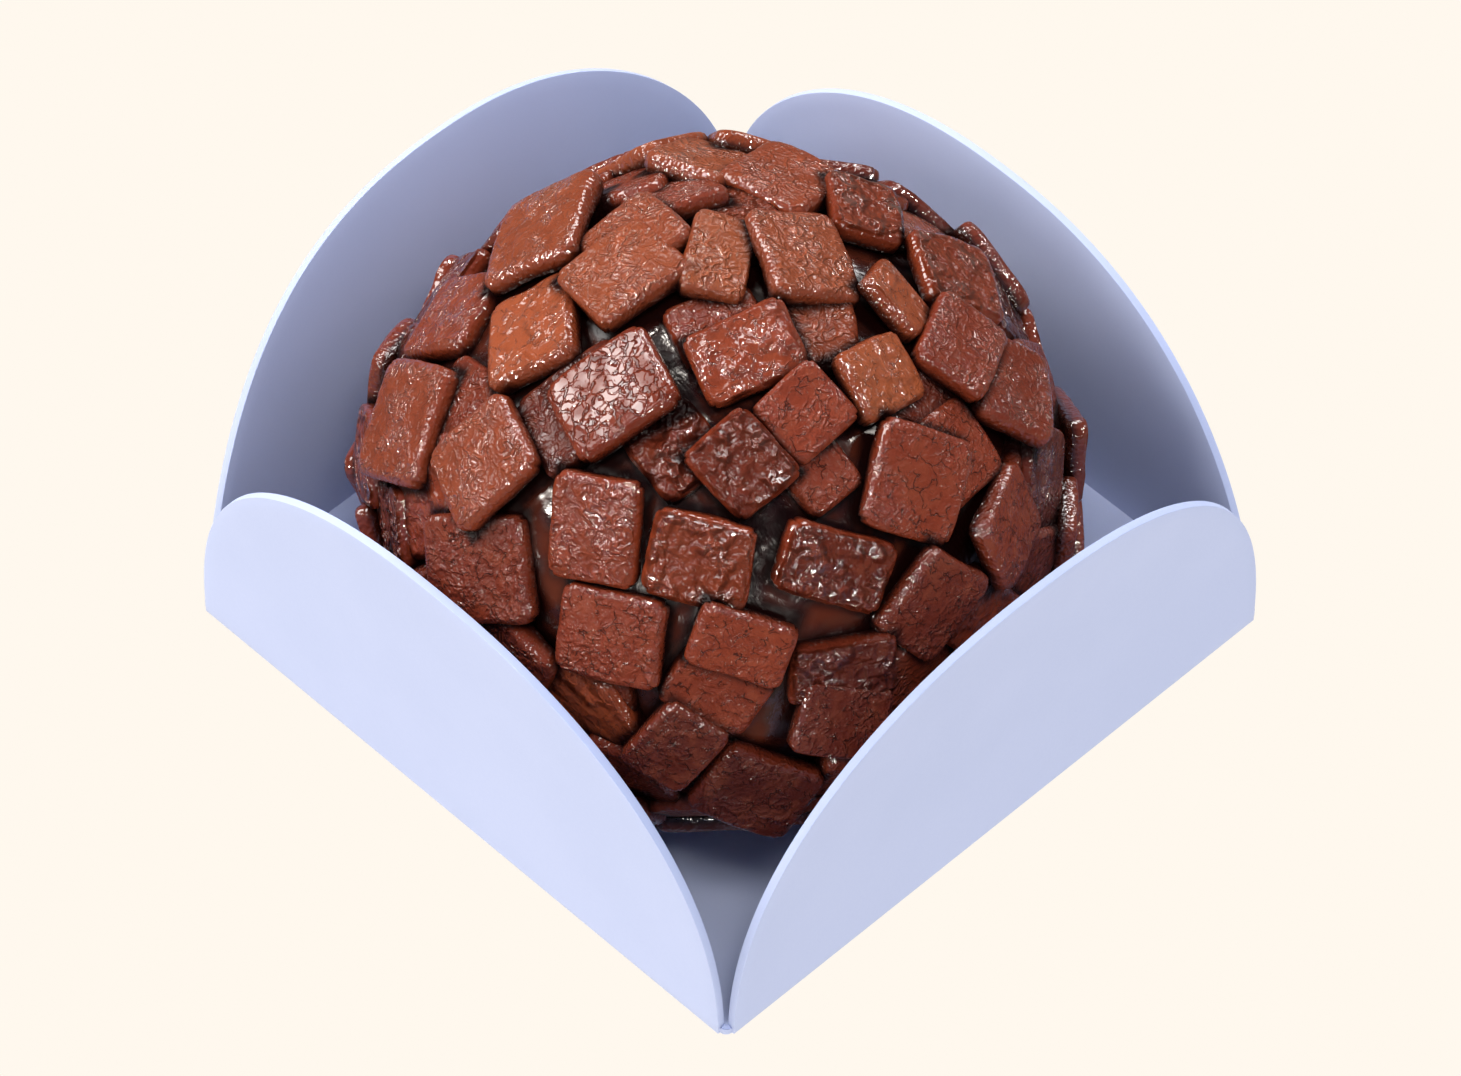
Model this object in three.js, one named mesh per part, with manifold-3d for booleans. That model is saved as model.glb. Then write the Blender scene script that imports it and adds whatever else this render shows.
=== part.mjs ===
// A brigadeiro: a soft ball of chocolate fudge covered all over with square chocolate flakes,
// standing in its folded card case, a square base with four round petals turned up.
//
// Units are millimetres, +Z is up, and the origin is the centre of the base's underside. The
// case's sides lie along X and Y. The ball has settled towards the corner at +X, -Y.
import * as THREE from "three";
import { mergeVertices } from "three/addons/utils/BufferGeometryUtils.js";
import Module from "manifold-3d";

const wasm = await Module();
wasm.setup();

// ---- Driving dimensions -------------------------------------------------------------------

const CARD = 0.4; // thickness of the card
const BASE_SIDE = 35; // the square base, from fold to fold
const CORNER_CUT = 0.4; // the small cut across each corner of the base
const PETAL_HEIGHT = 17.5; // from the fold to the top of the rim, along the card
const PETAL_GAP = 0.1; // between two petals where they start at a corner
const PETAL_FULLNESS = 2.25; // 2 is a half circle, more is squarer
const PETAL_TURNS = 36; // facets round a rim
const PETAL_RINGS = 4; // facets from the fold to the rim

const GAP = 0.3; // between the ball and the card

const BALL_X = 1.8; // the ball's centre
const BALL_Y = -2.4;
const BALL_Z = 12.6;
const CORE_RADIUS = 14.85; // the fudge under the flakes
const CORE_HALF_HEIGHT = 12.8; // it sags, so it is lower than wide
const CORE_DETAIL = 5; // subdivisions of the core's icosahedron
const PRESS_SHARPNESS = 16; // how flat the ball is where it presses on the card
const COAT = 1.5; // room that the flakes take between the fudge and the card

const FLAKE_THICKNESS = 1.05;
const FLAKE_SINK = 0.25; // how far a flake sinks into the fudge
const FLAKE_ROOT = 1.3; // how far the solid of a flake goes on down into the fudge
const FLAKE_SIZES = [3.6, 5.3]; // shortest and longest side
const FLAKE_STEEPEST = 0.24; // slope of the most tilted flake
const FLAKE_GIVE = 0.4; // how far a flake gives way under the edge of another
const FLAKE_MOST_LIFT = 0.75; // higher than this over the fudge, flakes press into each other
const SPIRAL_FLAKES = 176; // places that the flakes are strewn over
const SCATTER = 0.9; // how far a strewn flake strays from its place
const CROWDED = 0.75; // a strewn flake this near to a placed one, in shares of their reach, is left out
const SPREAD_ROUNDS = 40; // how often the strewn flakes are pushed apart

// The four petals. Lean is the slope at the fold and curl the further turn up to the rim, both
// in radians, outwards positive. The ball props the front and right petals a little open.
const PETALS = [
  { side: "front", turn: -Math.PI / 2, lean: 0.03, curl: 0.08 },
  { side: "right", turn: 0, lean: 0.025, curl: 0.09 },
  { side: "back", turn: Math.PI / 2, lean: -0.13, curl: 0.26 },
  { side: "left", turn: Math.PI, lean: -0.11, curl: 0.52 },
];

// The flakes on the side of the open corner, laid by hand from the bottom up: degrees round the
// ball from that corner, degrees above its middle, length, width, and turn in degrees.
const PLACED_FLAKES = [
  [-15, 60, 3.8, 3.6, -40],
  [28, 54, 3.4, 3.0, -75],
  [64, 41, 4.2, 4.0, -105],
  [-132, 71, 4.4, 4.2, 75],
  [-50, 59, 4.5, 5.6, -16],
  [-106, 35, 4.6, 4.6, 165],
  [0, 18, 4.4, 4.2, -30],
  [87, 35, 4.4, 5.0, -86],
  [-127, 50, 6.0, 5.2, 26],
  [-87, 57, 4.6, 5.4, 90],
  [-84, 26, 5.2, 5.6, 48],
  [-60, 40, 4.5, 5.0, -8],
  [-46, 23, 5.4, 5.0, 36],
  [-43, 64, 4.6, 5.4, -22],
  [-106, 73, 4.5, 4.9, 50],
  [-171, 83, 3.0, 4.4, 160],
  [123, 75, 4.5, 5.3, -105],
  [162, 56, 4.6, 4.4, 160],
  [138, 54, 3.6, 4.0, -130],
  [97, 61, 2.6, 3.6, -40],
  [112, 45, 4.4, 4.4, -96],
  [88, 48, 3.8, 4.6, -106],
  [18, 77, 3.6, 4.9, -85],
  [62, 61, 3.4, 4.2, -111],
  [6, 58, 4.0, 3.6, -53],
  [32, 64, 3.5, 3.7, -76],
  [-29, 43, 4.1, 4.9, 13],
  [24, 38, 5.4, 3.3, -33],
  [-4, 42, 4.7, 4.0, -8],
  [49, 44, 4.7, 5.0, -51],
  [-20, 24, 5.0, 4.3, 5],
  [4, 27, 4.5, 3.2, -21],
  [41, 23, 4.0, 4.7, -54],
  [62, 24, 4.0, 4.9, -90],
  [22, 17, 4.9, 3.0, -7],
  [20, 6, 4.4, 3.6, -28],
  [-7, 4, 3.4, 4.2, -34],
  [6, -10, 5.0, 4.4, -30],
];

// ---- Colours ------------------------------------------------------------------------------

const CARD_PAINT = new THREE.MeshStandardMaterial({ color: 0xc3cdf0, roughness: 0.75, metalness: 0 });
const CHOCOLATE = new THREE.MeshStandardMaterial({ color: 0x6e3a2a, roughness: 0.35, metalness: 0 });

// ---- Helpers ------------------------------------------------------------------------------

const radians = THREE.MathUtils.degToRad;

// The same numbers every time: a Park-Miller generator, from 0 to 1.
function dice(seed) {
  let state = seed;
  return () => {
    state = (state * 16807) % 2147483647;
    return state / 2147483647;
  };
}

function toSolid(geometry) {
  const bare = geometry.clone();
  bare.deleteAttribute("normal");
  bare.deleteAttribute("uv");
  const merged = mergeVertices(bare, 1e-4);
  const mesh = new wasm.Mesh({
    numProp: 3,
    vertProperties: merged.attributes.position.array,
    triVerts: new Uint32Array(merged.index.array),
  });
  return new wasm.Manifold(mesh);
}

function toGeometry(solid) {
  const mesh = solid.getMesh();
  const geometry = new THREE.BufferGeometry();
  geometry.setAttribute("position", new THREE.BufferAttribute(mesh.vertProperties, 3));
  geometry.setIndex(new THREE.BufferAttribute(mesh.triVerts, 1));
  geometry.computeVertexNormals();
  return geometry;
}

function joined(solids) {
  return wasm.Manifold.union(solids);
}

function largestBody(solid) {
  return solid.decompose().reduce((most, body) => (body.volume() > most.volume() ? body : most));
}

// ---- The card case ------------------------------------------------------------------------

// Where the petal's outer face is at a distance v along the card from the fold, as [out, up],
// with the slope of the card there.
function petalSection(petal, v) {
  if (v <= CARD) return { out: 0, up: v, slope: 0 };
  const rise = v - CARD;
  const bend = petal.curl / (PETAL_HEIGHT - CARD);
  const slope = petal.lean + bend * rise;
  return {
    out: (Math.cos(petal.lean) - Math.cos(slope)) / bend,
    up: CARD + (Math.sin(slope) - Math.sin(petal.lean)) / bend,
    slope,
  };
}

// A petal as a closed thin shell: rings from the middle of its fold out to the rim, on the
// outer face and on the inner one, which is a thickness further in.
function petalGeometry(petal, thickness) {
  const halfFold = BASE_SIDE / 2 - CARD - PETAL_GAP;
  const power = 2 / PETAL_FULLNESS;
  const positions = [];
  for (const depth of [0, thickness]) {
    for (let ring = 0; ring <= PETAL_RINGS; ring += 1) {
      for (let turn = 0; turn <= PETAL_TURNS; turn += 1) {
        const angle = (Math.PI * turn) / PETAL_TURNS;
        const share = ring / PETAL_RINGS;
        const across = share * halfFold * Math.sign(Math.cos(angle)) * Math.abs(Math.cos(angle)) ** power;
        const along = share * PETAL_HEIGHT * Math.sin(angle) ** power;
        const at = petalSection(petal, Math.max(0, along));
        positions.push(
          BASE_SIDE / 2 + at.out - depth * Math.cos(at.slope),
          across,
          at.up + depth * Math.sin(at.slope),
        );
      }
    }
  }
  const row = PETAL_TURNS + 1;
  const layer = row * (PETAL_RINGS + 1);
  const index = [];
  const quad = (a, b, c, d) => index.push(a, b, c, a, c, d);
  for (let ring = 0; ring < PETAL_RINGS; ring += 1) {
    for (let turn = 0; turn < PETAL_TURNS; turn += 1) {
      const a = ring * row + turn;
      quad(a, a + row, a + row + 1, a + 1);
      quad(layer + a, layer + a + 1, layer + a + row + 1, layer + a + row);
    }
    // The lower edge, along the fold, on both sides of its middle.
    const low = ring * row;
    const high = ring * row + PETAL_TURNS;
    quad(low, low + layer, low + layer + row, low + row);
    quad(high, high + row, high + layer + row, high + layer);
  }
  const rim = PETAL_RINGS * row;
  for (let turn = 0; turn < PETAL_TURNS; turn += 1) {
    quad(rim + turn, rim + turn + layer, rim + turn + layer + 1, rim + turn + 1);
  }
  const geometry = new THREE.BufferGeometry();
  geometry.setAttribute("position", new THREE.Float32BufferAttribute(positions, 3));
  geometry.setIndex(index);
  geometry.rotateZ(petal.turn);
  return geometry;
}

function baseGeometry(thickness) {
  const half = BASE_SIDE / 2 - CARD / 4;
  const outline = new THREE.Shape();
  outline.moveTo(half - CORNER_CUT, -half);
  for (let corner = 0; corner < 4; corner += 1) {
    const angle = (corner * Math.PI) / 2;
    const spin = (x, y) => [
      x * Math.cos(angle) - y * Math.sin(angle),
      x * Math.sin(angle) + y * Math.cos(angle),
    ];
    if (corner > 0) outline.lineTo(...spin(half - CORNER_CUT, -half));
    outline.lineTo(...spin(half, -half + CORNER_CUT));
  }
  outline.closePath();
  return new THREE.ExtrudeGeometry(outline, { depth: thickness, bevelEnabled: false });
}

// The folded case in a card of a given thickness, which grows inwards.
function caseSolid(thickness) {
  const petals = PETALS.map((petal) => toSolid(petalGeometry(petal, thickness)));
  return joined([toSolid(baseGeometry(thickness)), ...petals]);
}

// ---- The ball -----------------------------------------------------------------------------

const ballCentre = new THREE.Vector3(BALL_X, BALL_Y, BALL_Z);
const towardsCorner = new THREE.Vector3(1, -1, 0).normalize();
const rightOfCorner = new THREE.Vector3(1, 1, 0).normalize();
const up = new THREE.Vector3(0, 0, 1);

// The planes that the fudge presses on: the floor of the case and the two petals next to the
// open corner, each as an outward direction and the room that it leaves from the ball's centre.
function pressingPlanes() {
  const floor = { out: new THREE.Vector3(0, 0, -1), room: BALL_Z - CARD - GAP - COAT };
  const walls = PETALS.filter((petal) => petal.side === "front" || petal.side === "right");
  return [
    floor,
    ...walls.map((petal) => {
      const out = new THREE.Vector3(Math.cos(petal.turn), Math.sin(petal.turn), 0);
      const face = BASE_SIDE / 2 + petalSection(petal, BALL_Z).out - CARD;
      return { out, room: face - out.dot(ballCentre) - GAP - COAT };
    }),
  ];
}
const planes = pressingPlanes();

// How far the fudge reaches from the ball's centre in a direction: a sagging ball, gently
// flattened where it presses on a plane.
function coreReach(direction) {
  const flat = Math.hypot(direction.x, direction.y) / CORE_RADIUS;
  const ball = Math.hypot(flat, direction.z / CORE_HALF_HEIGHT) ** PRESS_SHARPNESS;
  const pressed = planes.map(
    (plane) => Math.max(0, direction.dot(plane.out) / plane.room) ** PRESS_SHARPNESS,
  );
  const sum = pressed.reduce((total, value) => total + value, ball);
  return sum ** (-1 / PRESS_SHARPNESS);
}

function corePoint(direction) {
  const unit = direction.clone().normalize();
  return unit.multiplyScalar(coreReach(unit)).add(ballCentre);
}

// A frame on the fudge at a direction: the point, the outward normal, and a level tangent.
function coreFrame(direction) {
  const step = 0.02;
  const level = new THREE.Vector3().crossVectors(up, direction).normalize();
  const rising = new THREE.Vector3().crossVectors(direction, level).normalize();
  const at = corePoint(direction);
  const alongLevel = corePoint(direction.clone().addScaledVector(level, step)).sub(at);
  const alongRising = corePoint(direction.clone().addScaledVector(rising, step)).sub(at);
  const normal = new THREE.Vector3().crossVectors(alongLevel, alongRising).normalize();
  const east = level.addScaledVector(normal, -level.dot(normal)).normalize();
  return { at, normal, east };
}

function directionOf(azimuth, height) {
  const direction = new THREE.Vector3();
  direction.addScaledVector(towardsCorner, Math.cos(height) * Math.cos(azimuth));
  direction.addScaledVector(rightOfCorner, Math.cos(height) * Math.sin(azimuth));
  return direction.addScaledVector(up, Math.sin(height));
}

// The direction from the ball's centre of a place given by its angles on the sagging ball.
function placeOnBall(azimuth, height) {
  const direction = directionOf(azimuth, height);
  direction.z *= CORE_HALF_HEIGHT / CORE_RADIUS;
  return direction.normalize();
}

// How far round its middle a flake reaches, as the radius of a disc.
function flakeReach(flake) {
  return Math.sqrt(flake.length * flake.width) / 2;
}

// How near two flakes lie: 1 where their discs touch, less where they overlap.
function nearness(a, b) {
  return (a.direction.distanceTo(b.direction) * CORE_RADIUS) / (flakeReach(a) + flakeReach(b));
}

// Pushes the strewn flakes off each other and off the placed ones, which stay.
function spread(strewn, placed) {
  for (let round = 0; round < SPREAD_ROUNDS; round += 1) {
    strewn.forEach((flake, i) => {
      for (const other of [...strewn.slice(i + 1), ...placed]) {
        const short = 1 - nearness(flake, other);
        if (short <= 0) continue;
        const push = flake.direction.clone().sub(other.direction).normalize();
        push.multiplyScalar((short * (flakeReach(flake) + flakeReach(other))) / CORE_RADIUS / 2);
        flake.direction.add(push).normalize();
        if (!placed.includes(other)) other.direction.sub(push).normalize();
      }
    });
  }
}

// The flakes strewn over the rest of the ball, on a spiral from the top down to the foot.
function strewnFlakes(placed) {
  const roll = dice(41);
  const golden = Math.PI * (3 - Math.sqrt(5));
  const [short, long] = FLAKE_SIZES;
  const strewn = [];
  for (let i = 0; i < SPIRAL_FLAKES; i += 1) {
    const height = Math.asin(1 - (2 * (i + 0.5)) / SPIRAL_FLAKES);
    const direction = placeOnBall(i * golden, height);
    const stray = new THREE.Vector3(roll() - 0.5, roll() - 0.5, roll() - 0.5);
    direction.addScaledVector(stray, (2 * SCATTER) / CORE_RADIUS).normalize();
    const length = short + (long - short) * Math.sqrt(roll());
    const width = Math.min(length, short + (long - short) * roll());
    const flake = { direction, length, width, turn: Math.PI * roll() };
    if (placed.every((other) => nearness(flake, other) > CROWDED)) strewn.push(flake);
  }
  spread(strewn, placed);
  return strewn;
}

function placedFlakes() {
  return PLACED_FLAKES.map(([azimuth, height, length, width, turn]) => ({
    direction: placeOnBall(radians(azimuth), radians(height)),
    length,
    width,
    turn: radians(turn),
  }));
}

// How high a point stands over a flake that already lies there, or over the fudge, along the
// normal that the new flake comes down.
function supportUnder(point, normal, laid) {
  const direction = point.clone().sub(ballCentre);
  let support = corePoint(direction).sub(point).dot(normal);
  for (const flake of laid) {
    const from = point.clone().sub(flake.at);
    if (from.lengthSq() > 60) continue;
    const inside =
      Math.abs(from.dot(flake.along)) < flake.length / 2 &&
      Math.abs(from.dot(flake.across)) < flake.width / 2;
    const facing = normal.dot(flake.normal);
    if (inside && facing > 0.5) {
      const top = FLAKE_THICKNESS - FLAKE_GIVE;
      support = Math.max(support, (top - from.dot(flake.normal)) / facing);
    }
  }
  return support;
}

// Lays a flake on what is under it, at the slope that lets its middle sink lowest.
function lay(flake, laid) {
  const { at, normal, east } = coreFrame(flake.direction);
  const north = new THREE.Vector3().crossVectors(normal, east);
  const along = east.clone().multiplyScalar(Math.cos(flake.turn));
  along.addScaledVector(north, Math.sin(flake.turn));
  const across = new THREE.Vector3().crossVectors(normal, along);
  const spots = [];
  for (const i of [-1, -0.5, 0, 0.5, 1]) {
    for (const j of [-1, -0.5, 0, 0.5, 1]) {
      const u = (i * flake.length) / 2;
      const v = (j * flake.width) / 2;
      const point = at.clone().addScaledVector(along, u * 0.96).addScaledVector(across, v * 0.96);
      spots.push({ u, v, support: supportUnder(point, normal, laid) });
    }
  }
  let best = { cost: Infinity };
  const slopes = [-1, -0.75, -0.5, -0.25, 0, 0.25, 0.5, 0.75, 1];
  for (const i of slopes) {
    for (const j of slopes) {
      const rise = i * FLAKE_STEEPEST;
      const bank = j * FLAKE_STEEPEST;
      const lift = Math.max(...spots.map((spot) => spot.support - rise * spot.u - bank * spot.v));
      const cost = lift + (rise * rise + bank * bank) * 0.8;
      if (cost < best.cost) best = { cost, lift: Math.min(lift, FLAKE_MOST_LIFT), rise, bank };
    }
  }
  const tilted = normal.clone().addScaledVector(along, -best.rise).addScaledVector(across, -best.bank);
  tilted.normalize();
  const newAlong = along.addScaledVector(tilted, -along.dot(tilted)).normalize();
  return {
    at: at.addScaledVector(normal, best.lift - FLAKE_SINK),
    normal: tilted,
    along: newAlong,
    across: new THREE.Vector3().crossVectors(tilted, newAlong),
    length: flake.length,
    width: flake.width,
  };
}

function flakeGeometry(flake) {
  const depth = FLAKE_THICKNESS + FLAKE_ROOT;
  const geometry = new THREE.BoxGeometry(flake.length, flake.width, depth);
  geometry.translate(0, 0, FLAKE_THICKNESS - depth / 2);
  const place = new THREE.Matrix4().makeBasis(flake.along, flake.across, flake.normal);
  return geometry.applyMatrix4(place.setPosition(flake.at));
}

function coreGeometry() {
  const geometry = new THREE.IcosahedronGeometry(1, CORE_DETAIL);
  const position = geometry.attributes.position;
  const vertex = new THREE.Vector3();
  for (let i = 0; i < position.count; i += 1) {
    vertex.copy(corePoint(vertex.fromBufferAttribute(position, i)));
    position.setXYZ(i, vertex.x, vertex.y, vertex.z);
  }
  return geometry;
}

// The flaked ball, cut clear of the card by the gap.
function ballSolid() {
  const placed = placedFlakes();
  const laid = [];
  for (const flake of [...strewnFlakes(placed), ...placed]) laid.push(lay(flake, laid));
  const flakes = laid.map((flake) => toSolid(flakeGeometry(flake)));
  const whole = joined([toSolid(coreGeometry()), ...flakes]);
  // The cut leaves a few loose chips of the flakes that it trims.
  return largestBody(whole.subtract(caseSolid(CARD + GAP)));
}

// ---- The part -----------------------------------------------------------------------------

function piece(name, solid, material) {
  const mesh = new THREE.Mesh(toGeometry(solid), material);
  mesh.name = name;
  return mesh;
}

const brigadeiro = new THREE.Group();
brigadeiro.add(piece("card_case", caseSolid(CARD), CARD_PAINT));
brigadeiro.add(piece("flaked_ball", ballSolid(), CHOCOLATE));

export default brigadeiro;
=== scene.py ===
# %% [markdown]
# # A brigadeiro in its card case
#
# A brigadeiro is a soft ball of cocoa fudge, rolled in something sweet. This one is covered all
# over with square chocolate flakes and stands in a folded card case with four round petals.
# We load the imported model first: it fixes every size and place, in metres, with +Z up.

# %% Load the frame
import math

import bpy
import numpy as np
from mathutils import Matrix, Vector


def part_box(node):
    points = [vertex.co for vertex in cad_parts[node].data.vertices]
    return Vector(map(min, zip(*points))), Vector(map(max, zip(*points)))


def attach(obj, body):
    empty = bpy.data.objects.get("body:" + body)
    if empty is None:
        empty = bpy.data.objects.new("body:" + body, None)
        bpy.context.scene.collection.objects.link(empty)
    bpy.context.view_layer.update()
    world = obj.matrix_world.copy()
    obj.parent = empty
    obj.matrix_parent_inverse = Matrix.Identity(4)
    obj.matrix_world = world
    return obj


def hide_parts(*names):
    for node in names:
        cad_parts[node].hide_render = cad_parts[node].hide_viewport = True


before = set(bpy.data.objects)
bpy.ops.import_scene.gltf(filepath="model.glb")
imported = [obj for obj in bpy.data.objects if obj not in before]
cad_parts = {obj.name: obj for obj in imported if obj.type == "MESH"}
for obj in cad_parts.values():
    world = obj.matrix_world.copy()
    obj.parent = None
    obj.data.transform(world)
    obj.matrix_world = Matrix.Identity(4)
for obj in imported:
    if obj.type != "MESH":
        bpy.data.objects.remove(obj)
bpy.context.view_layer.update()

MM = 0.001
case_low, case_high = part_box("card_case")
ball_low, ball_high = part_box("flaked_ball")
print("case", [round(v / MM, 2) for v in case_high - case_low], "mm")
print("ball", [round(v / MM, 2) for v in ball_high - ball_low], "mm")


# %% [markdown]
# ## Small helpers
#
# An operator acts on everything that is selected, so each step starts by selecting just its own
# piece. The vertices of a mesh are read and written all at once as one array of places, which is
# quick enough for a formula that moves every one of them.

# %% Selecting, finishing and reading pieces
def select_only(*pieces):
    bpy.ops.object.select_all(action="DESELECT")
    for piece in pieces:
        piece.select_set(True)
    bpy.context.view_layer.objects.active = pieces[0]


def named(name):
    piece = bpy.context.object
    piece.name = name
    piece.data.name = name
    return piece


def places(piece):
    values = np.empty(len(piece.data.vertices) * 3)
    piece.data.vertices.foreach_get("co", values)
    return values.reshape(-1, 3)


def put(piece, points):
    piece.data.vertices.foreach_set("co", np.ascontiguousarray(points).ravel())
    piece.data.update()


def apply_modifiers(piece):
    select_only(piece)
    for modifier in list(piece.modifiers):
        bpy.ops.object.modifier_apply(modifier=modifier.name)


def apply_place(piece):
    select_only(piece)
    bpy.ops.object.transform_apply(location=True, rotation=True, scale=True)


def join(pieces, name):
    select_only(*pieces)
    if len(pieces) > 1:
        bpy.ops.object.join()
    return named(name)


def count_triangles(piece):
    return sum(len(face.vertices) - 2 for face in piece.data.polygons)


def add_attribute(piece, name, values):
    made = piece.data.attributes.new(name, "FLOAT", "POINT")
    made.data.foreach_set("value", values)


# %% [markdown]
# ## Camera
#
# The camera looks down at the corner of the case with a long lens, so that upright edges stay
# nearly parallel. A direction is given by its angles: degrees round from the case's open corner,
# to the right as the viewer sees it, and degrees above the level.

# %% Camera
CORNER = Vector((1, -1, 0)).normalized()
RIGHT_OF_CORNER = Vector((1, 1, 0)).normalized()
UP = Vector((0, 0, 1))


def direction(azimuth, height):
    level = math.cos(azimuth) * CORNER + math.sin(azimuth) * RIGHT_OF_CORNER
    return math.cos(height) * level + math.sin(height) * UP


CAMERA_HEIGHT = math.radians(50.9)
CAMERA_DISTANCE = 409.5 * MM
CAMERA_ROLL = 0.009
AIM = Vector((0, 0, 5.27 * MM))

bpy.ops.object.camera_add()
camera = bpy.context.object
camera.name = "camera"
camera.data.sensor_width = 36
camera.data.lens = 218.8
camera.data.clip_start = 0.01
camera.data.clip_end = 20
towards_camera = direction(0, CAMERA_HEIGHT)
look = (-towards_camera).to_track_quat("-Z", "Y").to_matrix().to_4x4()
roll = Matrix.Rotation(CAMERA_ROLL, 4, "Z")
camera.matrix_world = Matrix.Translation(AIM + CAMERA_DISTANCE * towards_camera) @ look @ roll
bpy.context.scene.camera = camera
bpy.context.scene.view_settings.view_transform = "Standard"
print("camera at", [round(v, 3) for v in camera.location])


# %% [markdown]
# ## The card case: four petals
#
# The case is one sheet of thin card. Each petal is a nearly half-round flap, folded up along a
# side of the base and curled a little. It could be bent by a Simple Deform modifier, but the four
# petals all stand differently, so a grid is laid out by a formula instead: its rows become rings
# round the middle of the fold, and each ring is wrapped onto the curled card. Solidify then gives
# the card its thickness, and Bevel softens the cut rim.

# %% The shape of a petal
CARD = 0.4 * MM
HALF_SIDE = case_high.y
PETAL_HEIGHT = 17.5 * MM
PETAL_GAP = 0.1 * MM
PETAL_FULLNESS = 2.25
PETAL_TURNS = 120
PETAL_RINGS = 24

# side: turn about the case's middle, lean at the fold, further curl up to the rim
PETALS = {
    "front": (-math.pi / 2, 0.03, 0.08),
    "right": (0.0, 0.025, 0.09),
    "back": (math.pi / 2, -0.13, 0.26),
    "left": (math.pi, -0.11, 0.52),
}


def petal_section(lean, curl, along):
    """How far out and up the outer face is at a distance along the card from the fold."""
    bend = curl / (PETAL_HEIGHT - CARD)
    slope = lean + bend * np.maximum(along - CARD, 0)
    out = (math.cos(lean) - np.cos(slope)) / bend
    up = np.minimum(along, CARD) + (np.sin(slope) - math.sin(lean)) / bend
    return out, up


def make_petal(side):
    turn, lean, curl = PETALS[side]
    bpy.ops.mesh.primitive_grid_add(x_subdivisions=PETAL_TURNS, y_subdivisions=PETAL_RINGS, size=1)
    petal = named("petal_" + side)
    grid = places(petal)
    angle = math.pi * (grid[:, 0] + 0.5)
    share = grid[:, 1] + 0.5
    power = 2 / PETAL_FULLNESS
    half_fold = HALF_SIDE - CARD - PETAL_GAP
    cosine = np.cos(angle)
    across = share * half_fold * np.sign(cosine) * np.abs(cosine) ** power
    along = share * PETAL_HEIGHT * np.maximum(np.sin(angle), 0) ** power
    out, up = petal_section(lean, curl, along)
    put(petal, np.stack([HALF_SIDE + out, across, up], axis=1))
    petal.rotation_euler.z = turn
    apply_place(petal)
    bpy.ops.object.mode_set(mode="EDIT")
    bpy.ops.mesh.select_all(action="SELECT")
    bpy.ops.mesh.remove_doubles(threshold=0.001 * MM)
    bpy.ops.object.mode_set(mode="OBJECT")
    outward = Vector((math.cos(turn), math.sin(turn), 0))
    if sum((face.normal * face.area for face in petal.data.polygons), Vector()).dot(outward) < 0:
        petal.data.flip_normals()
    solid = petal.modifiers.new("thickness", "SOLIDIFY")
    solid.thickness = CARD
    solid.offset = -1
    solid.material_offset_rim = 1
    soft = petal.modifiers.new("soft rim", "BEVEL")
    soft.width = 0.11 * MM
    soft.segments = 3
    soft.limit_method = "ANGLE"
    petal.data.materials.append(None)
    petal.data.materials.append(None)
    apply_modifiers(petal)
    return petal


petals = [make_petal(side) for side in PETALS]
print("a petal has", count_triangles(petals[0]), "triangles")


# %% [markdown]
# ## The card case: its base
#
# The base is a plain square of the same card, its four corners cut off a little where the petals
# part. A cube is scaled to a slab, and one bevel as deep as the card is thick cuts the corners and
# rounds the rim. The bevels from above and below overlap in the outermost 0.05 mm. Along the sides
# that edge lies inside the feet of the petals, and at each corner it is the small tip between two
# petals. A second, tiny bevel softens what is left.

# %% The base
BASE_HALF = HALF_SIDE - CARD / 4

bpy.ops.mesh.primitive_cube_add(size=1, location=(0, 0, CARD / 2))
base = named("base")
base.scale = (2 * BASE_HALF, 2 * BASE_HALF, CARD)
apply_place(base)
bpy.ops.object.mode_set(mode="EDIT")
bpy.ops.mesh.select_all(action="SELECT")
bpy.ops.mesh.bevel(offset=CARD, segments=3)
bpy.ops.object.mode_set(mode="OBJECT")
soft = base.modifiers.new("soft edges", "BEVEL")
soft.width = 0.05 * MM
soft.segments = 2
base.data.materials.append(None)
base.data.materials.append(None)
apply_modifiers(base)
for face in base.data.polygons:
    face.material_index = 1 if abs(face.normal.z) < 0.5 else 0
card_case = join([base, *petals], "folded_card_case")
bpy.ops.object.shade_smooth_by_angle(angle=math.radians(40))
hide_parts("card_case")
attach(card_case, "root")
print("the case has", count_triangles(card_case), "triangles")


# %% [markdown]
# ## The shape of the fudge
#
# The fudge is a ball that has sagged: it is lower than wide, with a flat foot, and pressed flat
# where it leans on the two petals next to the open corner. One formula says how far it reaches
# in any direction. It blends the ball and the planes it presses on, and everything that lies on
# the fudge is placed with the same formula.

# %% How far the fudge reaches
BALL = Vector((1.8, -2.4, 12.6)) * MM
CORE_RADIUS = 14.85 * MM
CORE_HALF_HEIGHT = 12.8 * MM
PRESS_SHARPNESS = 16
COAT = 1.5 * MM
GAP = 0.3 * MM


def pressing_planes():
    planes = [(np.array((0, 0, -1.0)), BALL.z - CARD - GAP - COAT)]
    for side in ("front", "right"):
        turn, lean, curl = PETALS[side]
        out = np.array((math.cos(turn), math.sin(turn), 0))
        face = HALF_SIDE + float(petal_section(lean, curl, BALL.z)[0]) - CARD
        planes.append((out, face - float(out @ np.array(BALL)) - GAP - COAT))
    return planes


PLANES = pressing_planes()


def core_reach(units):
    flat = np.hypot(units[:, 0], units[:, 1]) / CORE_RADIUS
    total = np.hypot(flat, units[:, 2] / CORE_HALF_HEIGHT) ** PRESS_SHARPNESS
    for out, room in PLANES:
        total = total + np.maximum(units @ out / room, 0) ** PRESS_SHARPNESS
    return total ** (-1 / PRESS_SHARPNESS)


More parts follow.
